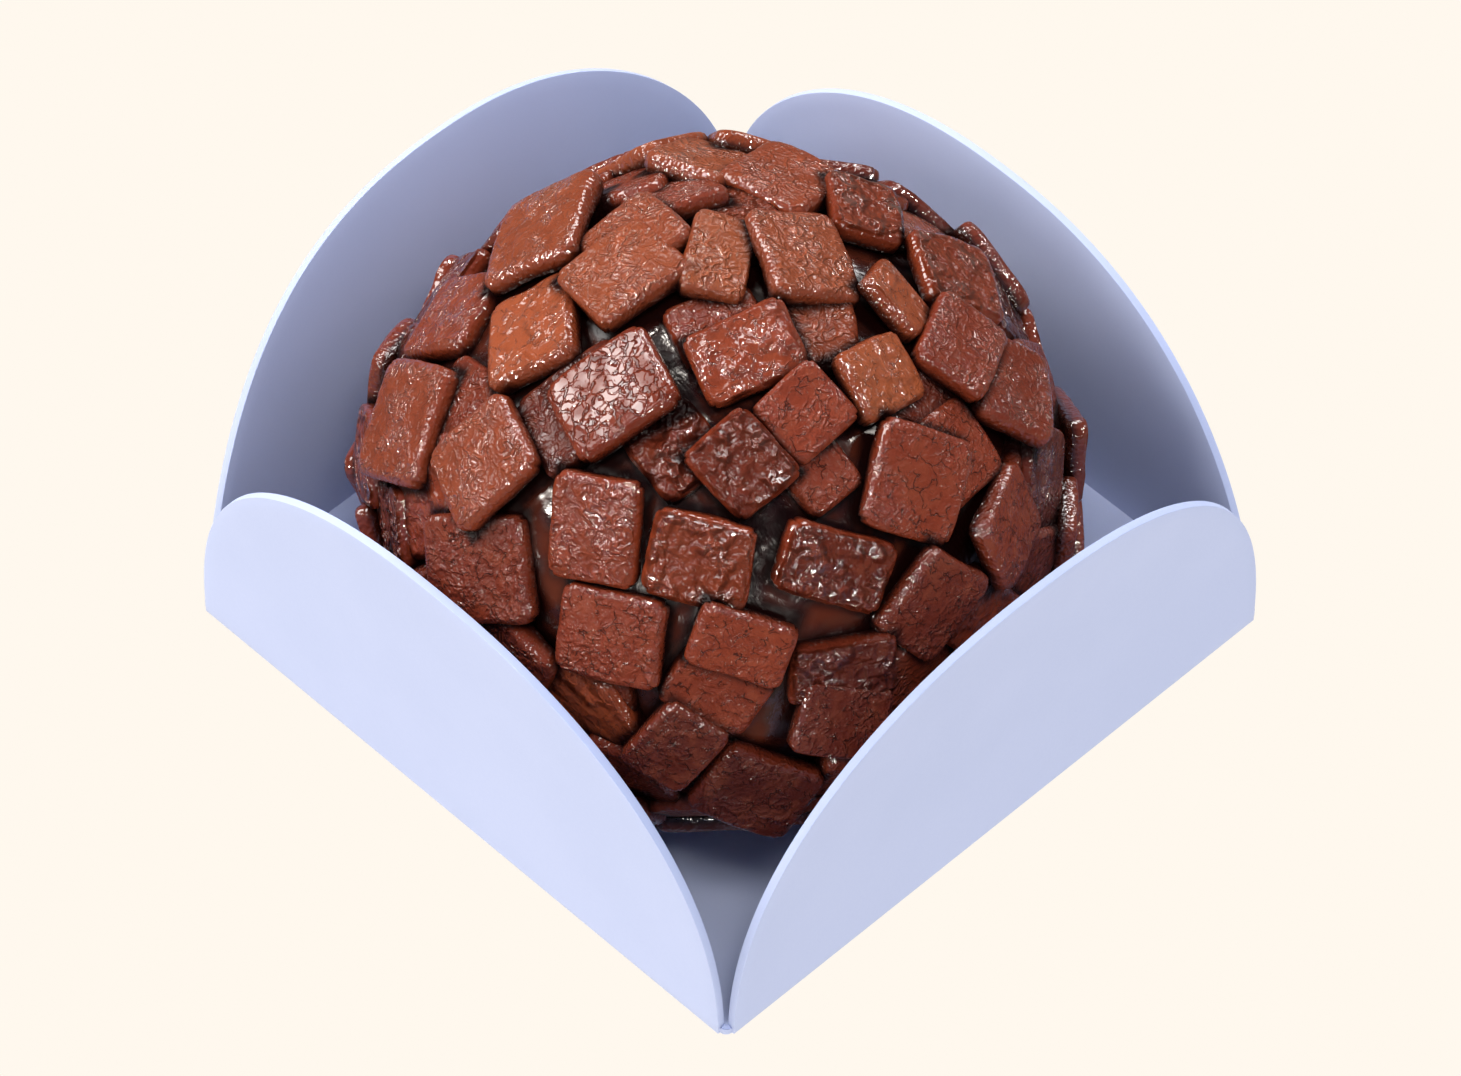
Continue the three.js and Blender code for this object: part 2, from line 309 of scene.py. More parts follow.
def core_points(directions):
    directions = np.atleast_2d(directions)
    units = directions / np.linalg.norm(directions, axis=1, keepdims=True)
    return units * core_reach(units)[:, None] + np.array(BALL)


# %% [markdown]
# ## The fudge
#
# Little of the fudge shows, but it glistens in every gap between the flakes. A fine icosphere has
# no poles, so it takes the formula evenly. Two Displace modifiers then pull its skin into the
# streaks and lumps that sticky fudge gets when it is rolled by hand.

# %% Make the fudge
def relief(piece, label, kind, size, depth, **settings):
    """Adds a Displace modifier with a procedural texture and applies it."""
    texture = bpy.data.textures.new(label, kind)
    texture.noise_scale = size
    for name, value in settings.items():
        setattr(texture, name, value)
    displace = piece.modifiers.new(label, "DISPLACE")
    displace.texture = texture
    displace.texture_coords = "LOCAL"
    displace.strength = depth
    displace.mid_level = 0.5
    apply_modifiers(piece)


bpy.ops.mesh.primitive_ico_sphere_add(subdivisions=7, radius=1)
fudge = named("fudge_ball")
put(fudge, core_points(places(fudge)))
relief(fudge, "fudge lumps", "CLOUDS", 2.5 * MM, 0.30 * MM, noise_depth=1)
relief(fudge, "fudge streaks", "MUSGRAVE", 0.9 * MM, 0.05 * MM, musgrave_type="RIDGED_MULTIFRACTAL")
bpy.ops.object.shade_smooth()
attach(fudge, "root")
print("the fudge has", count_triangles(fudge), "triangles")


# %% [markdown]
# ## Where the flakes lie
#
# The ball was rolled in a heap of flakes, so they lie every way, overlapping. Those that face the
# open corner are listed one by one: each row gives the degrees round the ball from that corner and
# above its middle, the length, width and turn, the finish of the flake, and its tone from dark to
# caramel. A second, shorter list holds flakes that lie deeper and show only through the gaps. All
# the others are strewn on a spiral with a little chance, and then pushed apart until they hardly
# crowd each other.

# %% Flakes listed one by one
# The tones are partly each flake's own colour and partly painted light and shade: flakes low on the
# ball are darker, those on top paler.
PLACED_FLAKES = [
    (-15, 60, 3.8, 3.6, -40, "dimpled", 0.3),
    (28, 54, 3.4, 3.0, -75, "cracked", 0.4),
    (64, 41, 4.2, 4.0, -105, "cracked", 0.5),
    (-132, 71, 4.4, 4.2, 75, "wrinkled", 0.75),
    (-50, 59, 4.5, 5.6, -16, "wrinkled", 0.2),
    (-106, 35, 4.6, 4.6, 165, "wrinkled", 0.6),
    (0, 18, 4.4, 4.2, -30, "cracked", 0.33),
    (87, 35, 4.4, 5.0, -86, "wrinkled", 0.4),
    (-127, 50, 6.0, 5.2, 26, "wrinkled", 0.75),
    (-87, 57, 4.6, 5.4, 90, "smooth", 0.8),
    (-84, 26, 5.2, 5.6, 48, "wrinkled", 0.65),
    (-60, 40, 4.5, 5.0, -8, "wrinkled", 0.7),
    (-50, 23, 5.4, 5.0, 36, "cracked", 0.26),
    (-43, 64, 4.6, 5.4, -22, "crackled", 0.28),
    (-106, 73, 4.5, 4.9, 50, "wrinkled", 0.8),
    (-171, 83, 3.0, 4.4, 160, "wrinkled", 0.9),
    (123, 75, 4.5, 5.3, -105, "wrinkled", 0.8),
    (162, 56, 4.6, 4.4, 160, "wrinkled", 0.7),
    (138, 54, 3.6, 4.0, -130, "dimpled", 0.6),
    (97, 61, 2.6, 3.6, -40, "smooth", 0.8),
    (112, 45, 4.4, 4.4, -96, "dimpled", 0.6),
    (88, 48, 3.8, 4.6, -106, "wrinkled", 0.55),
    (18, 77, 3.6, 4.9, -85, "smooth", 0.6),
    (62, 61, 3.4, 4.2, -111, "smooth", 0.9),
    (6, 58, 4.0, 3.6, -53, "dimpled", 0.3),
    (32, 64, 3.5, 3.7, -76, "cracked", 0.45),
    (-29, 43, 4.1, 4.9, 13, "wrinkled", 0.6),
    (24, 38, 5.4, 3.3, -33, "dimpled", 0.3),
    (-4, 42, 4.7, 4.0, -8, "dimpled", 0.6),
    (49, 44, 4.7, 5.0, -51, "cracked", 0.42),
    (-20, 24, 5.0, 4.3, 5, "cracked", 0.33),
    (4, 27, 4.5, 3.2, -21, "cracked", 0.42),
    (41, 23, 4.0, 4.7, -54, "cracked", 0.22),
    (62, 24, 4.0, 4.9, -90, "cracked", 0.35),
    (22, 17, 4.9, 3.0, -7, "dimpled", 0.18),
    (20, 6, 4.4, 3.6, -28, "cracked", 0.18),
    (-7, 4, 3.4, 4.2, -34, "cracked", 0.12),
    (6, -10, 5.0, 4.4, -30, "cracked", 0.05),
]

UNDER_FLAKES = [
    (-6, 84, 3.6, 4.2, -60, "wrinkled", 0.4),
    (67, 50, 3.4, 4.0, -80, "wrinkled", 0.3),
    (-65, 28, 4.4, 4.4, 10, "cracked", 0.3),
    (-78, 39, 4.4, 4.2, 30, "wrinkled", 0.35),
    (170, 72, 4.0, 4.0, 20, "wrinkled", 0.4),
    (-169, 60, 4.0, 4.4, 50, "wrinkled", 0.4),
    (78, 21, 4.0, 4.4, -70, "cracked", 0.3),
    (81, 3, 4.2, 4.0, -60, "cracked", 0.3),
    (-22, 9, 3.8, 4.2, 20, "cracked", 0.25),
    (-10, -15, 4.2, 4.0, -10, "cracked", 0.2),
    (-68, 16, 4.2, 4.4, 40, "cracked", 0.3),
]

# a flake that is propped up on its neighbours: where it lies, and which way it faces instead
PROPPED_UP = {(-50, 23): (-38, 33)}


def place_on_ball(azimuth, height):
    unit = np.array(direction(azimuth, height))
    unit[2] *= CORE_HALF_HEIGHT / CORE_RADIUS
    return unit / np.linalg.norm(unit)


def described(rows):
    return [
        {
            "direction": place_on_ball(math.radians(azimuth), math.radians(height)),
            "length": length * MM,
            "width": width * MM,
            "turn": math.radians(turn),
            "finish": finish,
            "tone": tone,
            "fine": True,
        }
        for azimuth, height, length, width, turn, finish, tone in rows
    ]


placed = described(PLACED_FLAKES)
under = described(UNDER_FLAKES)
print(len(placed) + len(under), "flakes laid by hand")


# %% Strew the other flakes
SHORT, LONG = 3.6 * MM, 5.3 * MM
SPIRAL_FLAKES = 176
DICE_SEED = 41
SCATTER = 0.9 * MM
CROWDED = 0.75
SPREAD_ROUNDS = 40


def dice(seed):
    """The same numbers from 0 to 1 every time: a Park-Miller generator."""
    state = seed
    while True:
        state = state * 16807 % 2147483647
        yield state / 2147483647


def reach_of(flake):
    return math.sqrt(flake["length"] * flake["width"]) / 2


def nearness(a, b):
    apart = np.linalg.norm(a["direction"] - b["direction"]) * CORE_RADIUS
    return apart / (reach_of(a) + reach_of(b))


def spread(strewn, placed):
    flakes = [*strewn, *placed]
    spots = np.array([flake["direction"] for flake in flakes])
    reaches = np.array([reach_of(flake) for flake in flakes])
    for _ in range(SPREAD_ROUNDS):
        for i in range(len(strewn)):
            for j in range(i + 1, len(flakes)):
                way = spots[i] - spots[j]
                apart = math.sqrt(way @ way)
                touching = (reaches[i] + reaches[j]) / CORE_RADIUS
                if apart >= touching:
                    continue
                push = way / apart * (touching - apart) / 2
                spots[i] += push
                spots[i] /= math.sqrt(spots[i] @ spots[i])
                if j < len(strewn):
                    spots[j] -= push
                    spots[j] /= math.sqrt(spots[j] @ spots[j])
    for flake, spot in zip(strewn, spots):
        flake["direction"] = spot


def strewn_flakes(placed):
    roll = dice(DICE_SEED)
    golden = math.pi * (3 - math.sqrt(5))
    strewn = []
    for i in range(SPIRAL_FLAKES):
        height = math.asin(1 - 2 * (i + 0.5) / SPIRAL_FLAKES)
        spot = place_on_ball(i * golden, height)
        stray = np.array([next(roll) - 0.5, next(roll) - 0.5, next(roll) - 0.5])
        spot = spot + stray * 2 * SCATTER / CORE_RADIUS
        length = SHORT + (LONG - SHORT) * math.sqrt(next(roll))
        width = min(length, SHORT + (LONG - SHORT) * next(roll))
        flake = {"direction": spot / np.linalg.norm(spot), "length": length, "width": width}
        flake["turn"] = math.pi * next(roll)
        flake["fine"] = False
        if all(nearness(flake, other) > CROWDED for other in placed):
            strewn.append(flake)
    spread(strewn, placed)
    return strewn


strewn = strewn_flakes(placed)
print(len(strewn), "flakes strewn")


# %% [markdown]
# ## Laying a flake down
#
# A flake comes down along the ball's own normal and rests on the fudge and on the flakes already
# there. We look at a grid of spots under it, try a few slopes, and keep the one that lets it sink
# lowest. The flakes are soft enough to press into each other, so none rides up far. High in front
# they give less, because there each flake shows its whole edge.

# %% How flakes lie
FLAKE_THICKNESS = 1.05 * MM
FLAKE_SINK = 0.25 * MM
FLAKE_STEEPEST = 0.24
FLAKE_GIVE = 0.4 * MM
FLAKE_GIVE_IN_FRONT = 0.1 * MM
FLAKE_MOST_LIFT = 0.75 * MM
UNDER_FLAKE_SINK = 0.25 * MM
# heights on the ball go from -1 at its foot to 1 at its top
HIGH_IN_FRONT = 0.55
# a flake is held up by what lies under this share of it, and a slope has to gain this much
TESTED_SHARE = 0.96
SLOPE_COST = 0.8 * MM
# flakes hold each other up where they lie near and face nearly the same way
REACH_OF_ANY = 10 * MM
SAME_SIDE = 0.5
SMALL_STEP = 0.02


def core_frame(unit):
    """The point on the fudge in a direction, the outward normal there, and a level tangent."""
    level = np.cross((0, 0, 1), unit)
    level /= np.linalg.norm(level)
    rising = np.cross(unit, level)
    beside = [unit, unit + SMALL_STEP * level, unit + SMALL_STEP * rising]
    at, by_level, by_rising = core_points(np.array(beside))
    normal = np.cross(by_level - at, by_rising - at)
    normal /= np.linalg.norm(normal)
    east = level - normal * (level @ normal)
    return at, normal, east / np.linalg.norm(east)


# %% What holds a flake up
def support_under(points, normal, laid, give):
    support = (core_points(points - np.array(BALL)) - points) @ normal
    for flake in laid:
        start = points - flake["at"]
        if (start[0] @ start[0]) > REACH_OF_ANY**2:
            continue
        facing = normal @ flake["normal"]
        if facing <= SAME_SIDE:
            continue
        inside = np.abs(start @ flake["along"]) < flake["length"] / 2
        inside &= np.abs(start @ flake["across"]) < flake["width"] / 2
        top = (FLAKE_THICKNESS - give - start @ flake["normal"]) / facing
        support = np.where(inside, np.maximum(support, top), support)
    return support


# %% Lay every flake
STEPS = np.array([(i, j) for i in (-1, -0.5, 0, 0.5, 1) for j in (-1, -0.5, 0, 0.5, 1)])
SLOPES = np.array([(i, j) for i in np.linspace(-1, 1, 9) for j in np.linspace(-1, 1, 9)])


def lay(flake, laid):
    at, normal, east = core_frame(flake["direction"])
    north = np.cross(normal, east)
    along = math.cos(flake["turn"]) * east + math.sin(flake["turn"]) * north
    across = np.cross(normal, along)
    spots = STEPS * (flake["length"] / 2, flake["width"] / 2)
    points = at + TESTED_SHARE * (spots[:, :1] * along + spots[:, 1:] * across)
    in_front = flake["fine"] and flake["direction"][2] > HIGH_IN_FRONT
    give = FLAKE_GIVE_IN_FRONT if in_front else FLAKE_GIVE
    support = support_under(points, normal, laid, give)
    slopes = SLOPES * FLAKE_STEEPEST
    lifts = (support[None, :] - slopes @ spots.T).max(axis=1)
    best = int(np.argmin(lifts + (slopes**2).sum(axis=1) * SLOPE_COST))
    lift = min(lifts[best], FLAKE_MOST_LIFT)
    rise, bank = slopes[best]
    tilted = normal - rise * along - bank * across
    tilted /= np.linalg.norm(tilted)
    along = along - tilted * (along @ tilted)
    along /= np.linalg.norm(along)
    flake.update(at=at + normal * (lift - FLAKE_SINK), normal=tilted, along=along)
    flake["across"] = np.cross(tilted, along)
    laid.append(flake)


def turn_to_face(flake, azimuth, height):
    normal = np.array(direction(math.radians(azimuth), math.radians(height)))
    along = flake["along"] - normal * (flake["along"] @ normal)
    flake.update(normal=normal, along=along / np.linalg.norm(along))
    flake["across"] = np.cross(normal, flake["along"])


pressed_in = []
for flake in under:
    lay(flake, [])
    flake["at"] = flake["at"] - UNDER_FLAKE_SINK * flake["normal"]
    pressed_in.append(flake)
laid = []
for flake in [*strewn, *placed]:
    lay(flake, laid)
for row, flake in zip(PLACED_FLAKES, placed):
    if row[:2] in PROPPED_UP:
        turn_to_face(flake, *PROPPED_UP[row[:2]])
laid.extend(pressed_in)
print("the highest flake is at", round(max(f["at"][2] for f in laid) / MM, 2), "mm")


# %% [markdown]
# ## A master flake
#
# Every flake starts as the same rounded square slab, modelled once at life size: a cube made
# flat, all its edges bevelled round, and its long edges subdivided both ways, which cuts the flat
# top into a fine grid that can take relief later. The underside is never seen, so its grid is
# dissolved again, and a formula then pulls the four corners in. The slab for the flakes in front
# has more cuts than the slab for the others. Two attributes go with it: rim says how near each
# point is to the slab's edge, and foot how near it is to the fudge.

# %% Model the masters
MASTER_SIDE = 4.5 * MM
ROUND_EDGE = 0.31 * MM
RIM_WIDTH = 0.38 * MM
CORNER_SHARPNESS = 9
FOOT_TOP = 0.7 * MM
FOOT_DEPTH = 0.4 * MM
# keeps the slab's middle point from a division by nought
TINY = 0.01 * MM


def select_edges(piece, wanted):
    """Selects the edges for which wanted(end, end) is true, and nothing else."""
    bpy.ops.object.mode_set(mode="EDIT")
    bpy.ops.mesh.select_mode(type="EDGE")
    bpy.ops.mesh.select_all(action="DESELECT")
    bpy.ops.object.mode_set(mode="OBJECT")
    points = places(piece)
    for edge in piece.data.edges:
        edge.select = bool(wanted(*points[list(edge.vertices)]))
    bpy.ops.object.mode_set(mode="EDIT")


def make_master(name, cuts, segments):
    bpy.ops.mesh.primitive_cube_add(size=1, location=(0, 0, FLAKE_THICKNESS / 2))
    master = named(name)
    master.scale = (MASTER_SIDE, MASTER_SIDE, FLAKE_THICKNESS)
    apply_place(master)
    bpy.ops.object.mode_set(mode="EDIT")
    bpy.ops.mesh.select_all(action="SELECT")
    bpy.ops.mesh.bevel(offset=ROUND_EDGE, segments=segments, profile=0.5)
    bpy.ops.object.mode_set(mode="OBJECT")
    for axis in (0, 1):
        select_edges(master, lambda a, b: abs(a[axis] - b[axis]) > MASTER_SIDE / 2)
        bpy.ops.mesh.subdivide(number_cuts=cuts)
        bpy.ops.object.mode_set(mode="OBJECT")
    bpy.ops.object.mode_set(mode="EDIT")
    bpy.ops.mesh.select_mode(type="FACE")
    bpy.ops.mesh.select_all(action="DESELECT")
    bpy.ops.object.mode_set(mode="OBJECT")
    for face in master.data.polygons:
        face.select = face.normal.z < -0.999
    bpy.ops.object.mode_set(mode="EDIT")
    bpy.ops.mesh.dissolve_faces()
    bpy.ops.object.mode_set(mode="OBJECT")
    points = places(master)
    ring = np.abs(points[:, :2]).max(axis=1)
    rounded = (np.abs(points[:, :2]) ** CORNER_SHARPNESS).sum(axis=1) ** (1 / CORNER_SHARPNESS)
    inwards = ring / np.maximum(rounded, TINY)
    put(master, points * np.stack([inwards, inwards, np.ones(len(points))], axis=1))
    inset = MASTER_SIDE / 2 - ring
    rim = np.clip(1 - inset / RIM_WIDTH, 0, 1)
    rim = np.maximum(rim, np.clip((FLAKE_THICKNESS - points[:, 2]) / ROUND_EDGE, 0, 1))
    # foot marks where the chocolate material paints shade, at the bottom of the side walls.
    foot = np.clip((FOOT_TOP - points[:, 2]) / FOOT_DEPTH, 0, 1)
    add_attribute(master, "rim", rim)
    add_attribute(master, "foot", foot)
    print(name, "has", count_triangles(master), "triangles")
    return master


fine_master = make_master("fine_slab", 27, 4)
plain_master = make_master("plain_slab", 11, 3)


# %% [markdown]
# ## Five finishes of flake
#
# The flakes come from one batch, but each has dried and been handled differently: some are finely
# wrinkled, one has a glossy crackled skin, and others are dimpled, matt and cracked, or smooth and
# caramel-coloured. The flakes of one finish are joined into one piece, which makes it easy to give
# them one relief and one material. Each copy is scaled to its size, bent a little to the ball, and
# put in its place. It carries its tone, its own place in the pattern, and its shelter, which says
# how close the flakes beside it stand.

# %% Share out finishes and tones
FINISHES = ("wrinkled", "crackled", "dimpled", "cracked", "smooth")
STREWN_HIGH = ("wrinkled", "wrinkled", "smooth", "dimpled", "wrinkled")
STREWN_LOW = ("cracked", "cracked", "dimpled", "wrinkled", "smooth")
HIGH_ON_BALL = 0.45
# Painted light and shade: strewn flakes high on the ball get a paler tone, those low down a darker
# one; the spread round it is at random.
TONE_HIGH_LIT, TONE_LOW_SHADED, TONE_SPREAD = 0.65, 0.28, 0.13

chance = np.random.default_rng(7)
for flake in strewn:
    high = flake["direction"][2] > HIGH_ON_BALL
    pool = STREWN_HIGH if high else STREWN_LOW
    flake["finish"] = pool[int(chance.integers(len(pool)))]
    tone = chance.normal(TONE_HIGH_LIT if high else TONE_LOW_SHADED, TONE_SPREAD)
    flake["tone"] = float(np.clip(tone, 0.05, 0.9))
    if flake["finish"] == "smooth":
        flake["tone"] = min(0.95, flake["tone"] + 0.25)
for finish in FINISHES:
    print(sum(flake["finish"] == finish for flake in laid), finish, "flakes")


# %% How sheltered a point is
SHELTER_REACH = 0.7 * MM
SHELTER_DEPTH = 0.6 * MM
SHELTER_WITHIN = 6 * MM
SHELTER_DOWN_TO = -2 * MM


# The materials use this to paint shade: where a point is sheltered, its colour goes dark.
def shelter(points, others):
    """How closely other flakes stand over each point: 1 where they touch, 0 where all are far."""
    closest = np.zeros(len(points))
    for other in others:
        start = points - other["at"]
        near = (start**2).sum(axis=1) < SHELTER_WITHIN**2
        start = start[near]
        along = np.maximum(np.abs(start @ other["along"]) - other["length"] / 2, 0)
        across = np.maximum(np.abs(start @ other["across"]) - other["width"] / 2, 0)
        level = start @ other["normal"]
        beside = np.clip(1 - np.hypot(along, across) / SHELTER_REACH, 0, 1)
        below = np.clip((FLAKE_THICKNESS - level) / SHELTER_DEPTH, 0, 1)
        below *= level > SHELTER_DOWN_TO
        closest[near] = np.maximum(closest[near], beside * below)
    return closest


# %% Copy the masters to their places
BEND_RADIUS = 34 * MM
NEIGHBOURS_WITHIN = 8 * MM


def copy_flake(flake, number):
    master = fine_master if flake["fine"] else plain_master
    copy = master.copy()
    copy.data = master.data.copy()
    bpy.context.scene.collection.objects.link(copy)
    copy.name = "flake_%03d" % number
    size = np.array([flake["length"], flake["width"], FLAKE_THICKNESS])
    points = places(copy) * size / (MASTER_SIDE, MASTER_SIDE, FLAKE_THICKNESS)
    pattern = points / MM + chance.uniform(-50, 50, 3)
    points[:, 2] -= (points[:, 0] ** 2 + points[:, 1] ** 2) / (2 * BEND_RADIUS)
    basis = np.array([flake["along"], flake["across"], flake["normal"]])
    put(copy, points @ basis + flake["at"])
    spot = copy.data.attributes.new("spot", "FLOAT_VECTOR", "POINT")
    spot.data.foreach_set("vector", pattern.ravel())
    add_attribute(copy, "tone", np.full(len(points), flake["tone"]))
    near = [f for f in laid if 0 < np.linalg.norm(f["at"] - flake["at"]) < NEIGHBOURS_WITHIN]
    add_attribute(copy, "shelter", shelter(places(copy), near))
    return copy


copies = {finish: [] for finish in FINISHES}
for number, flake in enumerate(laid):
    copies[flake["finish"]].append(copy_flake(flake, number))
flakes = {finish: join(copies[finish], finish + "_flakes") for finish in FINISHES}
add_attribute(fudge, "shelter", shelter(places(fudge), laid))
for spare in (fine_master, plain_master):
    bpy.data.objects.remove(spare)
for finish, piece in flakes.items():
    print(finish, count_triangles(piece), "triangles")


# %% [markdown]
# ## Relief on the flakes
#
# What is coarser than about half a millimetre is true shape, so it also shows at the outline.
# The slabs are first warped a little, all of them, and then each finish gets its own texture:
# the cells of a Voronoi texture for skins that crack, soft clouds for dimples, and a ridged
# Musgrave texture for wrinkles. The Displace modifier reads the texture at the place of each
# point on the ball, so no two flakes come out alike.

# %% Give each finish its relief
WARP = {"crackled": 0.15 * MM}
USUAL_WARP = 0.18 * MM

for finish, piece in flakes.items():
    depth = WARP.get(finish, USUAL_WARP)
    relief(piece, "warp", "CLOUDS", 2.2 * MM, depth, noise_depth=0)
cells = {"weight_1": -1.0, "weight_2": 1.0, "noise_intensity": 1.5}
ridged = {"musgrave_type": "RIDGED_MULTIFRACTAL"}
relief(flakes["wrinkled"], "wrinkles", "MUSGRAVE", 0.75 * MM, 0.030 * MM, **ridged)
relief(flakes["crackled"], "plates", "VORONOI", 0.8 * MM, 0.02 * MM, **cells)
relief(flakes["dimpled"], "dimples", "CLOUDS", 0.8 * MM, 0.12 * MM, noise_depth=1)
relief(flakes["cracked"], "cracks", "VORONOI", 1.3 * MM, 0.05 * MM, **cells)
relief(flakes["smooth"], "swells", "CLOUDS", 1.2 * MM, 0.10 * MM, noise_depth=0)
for piece in flakes.values():
    select_only(piece)
    bpy.ops.object.shade_smooth()
    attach(piece, "root")
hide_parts("flaked_ball")
print(len(flakes), "pieces have relief")


# %% [markdown]
# ## Building materials
#
# A material is a tree of nodes. These helpers add a node with its settings and inputs in one
# line: an input is either a plain value or the output of another node. What several materials
# share is a node group, which is built once and placed in each of them.

# %% Node helpers
def fill(tree, sockets, inputs):
    for name, value in inputs.items():
        if isinstance(value, bpy.types.NodeSocket):
            tree.links.new(value, sockets[name])
        else:
            sockets[name].default_value = value


def add(tree, kind, inputs=None, **settings):
    node = tree.nodes.new(kind)
    for name, value in settings.items():
        setattr(node, name, value)
    fill(tree, node.inputs, inputs or {})
    return node


def maths(tree, operation, a, b=0.0):
    return add(tree, "ShaderNodeMath", {0: a, 1: b}, operation=operation).outputs[0]


def times(tree, a, b):
    return maths(tree, "MULTIPLY", a, b)


def blend(tree, factor, a, b):
    inputs = {0: factor, 6: a, 7: b}
    return add(tree, "ShaderNodeMix", inputs, data_type="RGBA").outputs[2]


def spanned(tree, value, low, high, start=0.0, end=1.0):
    inputs = {"Value": value, "From Min": low, "From Max": high, "To Min": start, "To Max": end}
    return add(tree, "ShaderNodeMapRange", inputs, interpolation_type="SMOOTHSTEP").outputs[0]


def noise(tree, vector, scale, detail, output=0):
    inputs = {"Vector": vector, "Scale": scale, "Detail": detail}
    return add(tree, "ShaderNodeTexNoise", inputs).outputs[output]


def attribute(tree, name, output="Fac"):
    return add(tree, "ShaderNodeAttribute", attribute_name=name).outputs[output]


def shader_group(name, inputs, outputs):
    tree = bpy.data.node_groups.new(name, "ShaderNodeTree")
    for label, kind, value in inputs:
        socket = tree.interface.new_socket(label, in_out="INPUT", socket_type="NodeSocket" + kind)
        if value is not None:
            socket.default_value = value
    for label, kind in outputs:
        tree.interface.new_socket(label, in_out="OUTPUT", socket_type="NodeSocket" + kind)
    return tree, tree.nodes.new("NodeGroupInput").outputs, tree.nodes.new("NodeGroupOutput").inputs


def use(tree, group, inputs):
    return add(tree, "ShaderNodeGroup", inputs, node_tree=group).outputs


def bumped(tree, height, distance):
    inputs = {"Strength": 1.0, "Distance": distance, "Height": height}
    return add(tree, "ShaderNodeBump", inputs).outputs["Normal"]


def new_material(name):
    material = bpy.data.materials.new(name)
    material.use_nodes = True
    tree = material.node_tree
    return material, tree, tree.nodes["Principled BSDF"]


# %% [markdown]
# ## Shared effects
#
# All the reliefs work in millimetres on the pattern place that each flake carries. The place is
# first pushed about by a noise, because a plain texture looks too regular. Wrinkles are rounded
# ridges where a noise crosses its middle value. Plates are Voronoi cells, domed, with grooves
# between them that widen and narrow. Cracks are the borders of other cells, with raised lips, kept
# only here and there. Lumps are a soft noise with more contrast, and specks are the few tops of a
# very fine one.

# %% Node groups: a swirled place and wrinkles
def build_swirl():
    sockets = [("Vector", "Vector", None), ("Amount", "Float", 0.2), ("Scale", "Float", 1.5)]
    tree, given, made = shader_group("swirled place", sockets, [("Vector", "Vector")])
    cloud = noise(tree, given["Vector"], given["Scale"], 1.0, "Color")
    kind = "ShaderNodeVectorMath"
    centred = add(tree, kind, {0: cloud, 1: (0.5, 0.5, 0.5)}, operation="SUBTRACT").outputs[0]
    scaled = add(tree, kind, {0: centred, 3: given["Amount"]}, operation="SCALE").outputs[0]
    moved = add(tree, kind, {0: given["Vector"], 1: scaled}, operation="ADD").outputs[0]
    tree.links.new(moved, made["Vector"])
    return tree


SWIRL = build_swirl()


def swirled(tree, vector, amount, scale):
    return use(tree, SWIRL, {"Vector": vector, "Amount": amount, "Scale": scale})["Vector"]


def build_wrinkles():
    sockets = [("Vector", "Vector", None), ("Scale", "Float", 2.0), ("Thin", "Float", 0.06)]
    tree, given, made = shader_group("wrinkles", sockets, [("Height", "Float")])
    place = swirled(tree, given["Vector"], 0.7, 1.1)
    cloud = noise(tree, place, given["Scale"], 1.0)
    off_middle = maths(tree, "ABSOLUTE", maths(tree, "SUBTRACT", cloud, 0.5))
    ridge = spanned(tree, off_middle, 0.0, given["Thin"], 1.0, 0.0)
    tree.links.new(ridge, made["Height"])
    return tree


WRINKLES = build_wrinkles()
print(SWIRL.name, "and", WRINKLES.name)


# %% Node groups: plates and cracks
def build_plates():
    sockets = [("Vector", "Vector", None), ("Scale", "Float", 2.0), ("Groove", "Float", 0.08)]
    tree, given, made = shader_group("plates", sockets, [("Height", "Float")])
    place = swirled(tree, given["Vector"], 0.55, 1.6)
    inputs = {"Vector": place, "Scale": given["Scale"], "Randomness": 1.0}
    cells = add(tree, "ShaderNodeTexVoronoi", inputs, feature="DISTANCE_TO_EDGE")
    varied = spanned(tree, noise(tree, given["Vector"], 2.4, 1.0), 0.35, 0.65, -0.09, 0.05)
    edge = maths(tree, "SUBTRACT", cells.outputs["Distance"], varied)
    height = spanned(tree, edge, 0.0, given["Groove"])
    tree.links.new(height, made["Height"])
    return tree


def build_cracks():
    sockets = [("Vector", "Vector", None), ("Scale", "Float", 1.0), ("Kept", "Float", 0.5)]
    made = [("Cracks", "Float"), ("Lips", "Float")]
    tree, given, made = shader_group("short cracks", sockets, made)
    place = swirled(tree, given["Vector"], 0.5, 2.6)
    inputs = {"Vector": place, "Scale": given["Scale"], "Randomness": 1.0}
    cells = add(tree, "ShaderNodeTexVoronoi", inputs, feature="DISTANCE_TO_EDGE")
    line = spanned(tree, cells.outputs["Distance"], 0.0, 0.045, 1.0, 0.0)
    lips = spanned(tree, cells.outputs["Distance"], 0.03, 0.20, 1.0, 0.0)
    here = noise(tree, given["Vector"], 2.2, 1.0)
    low = maths(tree, "SUBTRACT", 1.0, given["Kept"])
    here = spanned(tree, here, low, maths(tree, "ADD", low, 0.12))
    tree.links.new(times(tree, line, here), made["Cracks"])
    tree.links.new(times(tree, lips, here), made["Lips"])
    return tree


PLATES = build_plates()
CRACKS = build_cracks()
print(PLATES.name, "and", CRACKS.name)


# %% Node groups: lumps and specks
def build_lumps():
    sockets = [("Vector", "Vector", None), ("Scale", "Float", 1.3)]
    tree, given, made = shader_group("lumps", sockets, [("Height", "Float")])
    place = swirled(tree, given["Vector"], 0.4, 1.5)
    cloud = noise(tree, place, given["Scale"], 1.5)
    tree.links.new(spanned(tree, cloud, 0.25, 0.75), made["Height"])
    return tree


